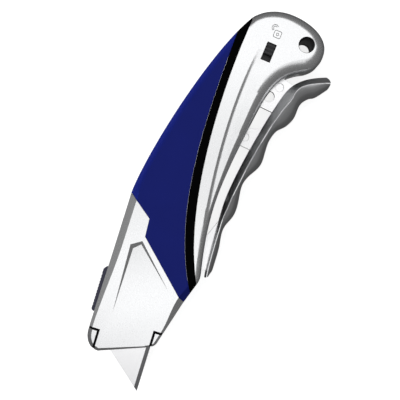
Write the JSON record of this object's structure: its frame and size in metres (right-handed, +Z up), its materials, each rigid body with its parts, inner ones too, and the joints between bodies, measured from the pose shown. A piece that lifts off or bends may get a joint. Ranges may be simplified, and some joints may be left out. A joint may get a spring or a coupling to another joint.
{
  "type": "squeeze-lever utility knife",
  "caption": "Retractable trapezoid-blade utility knife with a metal body, soft grip, squeeze lever, lock slide and hanging hole.",
  "frame": {"origin": "centre of the bounding box in plan, at the right face that the knife lies on, in the squeezed, blade-out pose", "axes": "+X along the blade's slide towards the nose, +Y towards the squeeze lever, +Z up through the left face"},
  "size_m": [0.1766, 0.0708, 0.0183],
  "materials": {
    "cast_body": "satin",
    "cast_lever": "satin",
    "soft_grip": "matte",
    "black_trim": "matte",
    "button_plastic": "matte",
    "bright_steel": "brushed",
    "blade_steel": "ground"
  },
  "bodies": {
    "handle": {"left_shell": "cast_body", "right_shell": "cast_body", "left_grip": "soft_grip", "right_grip": "soft_grip", "left_trim": "black_trim", "right_trim": "black_trim", "nose_corner_spine": "cast_body", "nose_corner_belly": "cast_body", "hang_hole_bush": "black_trim", "case_screw_tail": "bright_steel", "case_screw_waist": "bright_steel", "case_screw_belly": "bright_steel", "case_screw_lever": "bright_steel", "case_screw_nose": "bright_steel", "lever_pivot_pin": "bright_steel", "rocker_pivot_pin": "bright_steel", "spring_anchor_pin": "bright_steel", "return_spring": "bright_steel", "button_spring": "bright_steel"},
    "lever": {"lever_handle": "cast_lever", "lever_plate": "bright_steel", "lever_dowel_rear": "bright_steel", "lever_dowel_front": "bright_steel"},
    "rocker": {"rocker_arm": "bright_steel", "rocker_pin": "bright_steel"},
    "carriage": {"blade_carriage": "cast_lever", "drive_pin": "bright_steel", "blade_clip": "bright_steel", "clip_screw": "bright_steel", "blade": "blade_steel"},
    "lock": {"lock_slide": "black_trim", "lock_leaf": "bright_steel"},
    "release": {"blade_release_button": "button_plastic"}
  },
  "joints": [
    {"name": "lever_hinge", "type": "hinge", "parent": "handle", "child": "lever", "pos_m": [0.0293, 0.00185, 0.009], "axis": [0, 0, 1], "range_deg": [-12, 0], "stiffness_Nm_per_rad": 0.5, "springref_deg": -34.38},
    {"name": "rocker_pivot", "type": "hinge", "parent": "handle", "child": "rocker", "pos_m": [-0.01522, -0.0063, 0.0129], "axis": [0, 0, 1], "range_deg": [-76, 0]},
    {"name": "blade_slide", "type": "slide", "parent": "handle", "child": "carriage", "axis": [1, 0, 0], "range_m": [-0.02225, 0], "deforming": ["return_spring"]},
    {"name": "lock_slide_travel", "type": "slide", "parent": "handle", "child": "lock", "axis": [0.9951, -0.0993, 0], "range_m": [0, 0.0027]},
    {"name": "release_press", "type": "slide", "parent": "handle", "child": "release", "axis": [0, 1, 0], "range_m": [0, 0.0016], "stiffness_N_per_m": 900, "deforming": ["button_spring"]}
  ],
  "couplings": [
    {"joint": "rocker_pivot", "follows": "lever_hinge", "ratio": 6.3333},
    {"joint": "blade_slide", "follows": "lever_hinge", "m_per_rad": 0.10624}
  ]
}
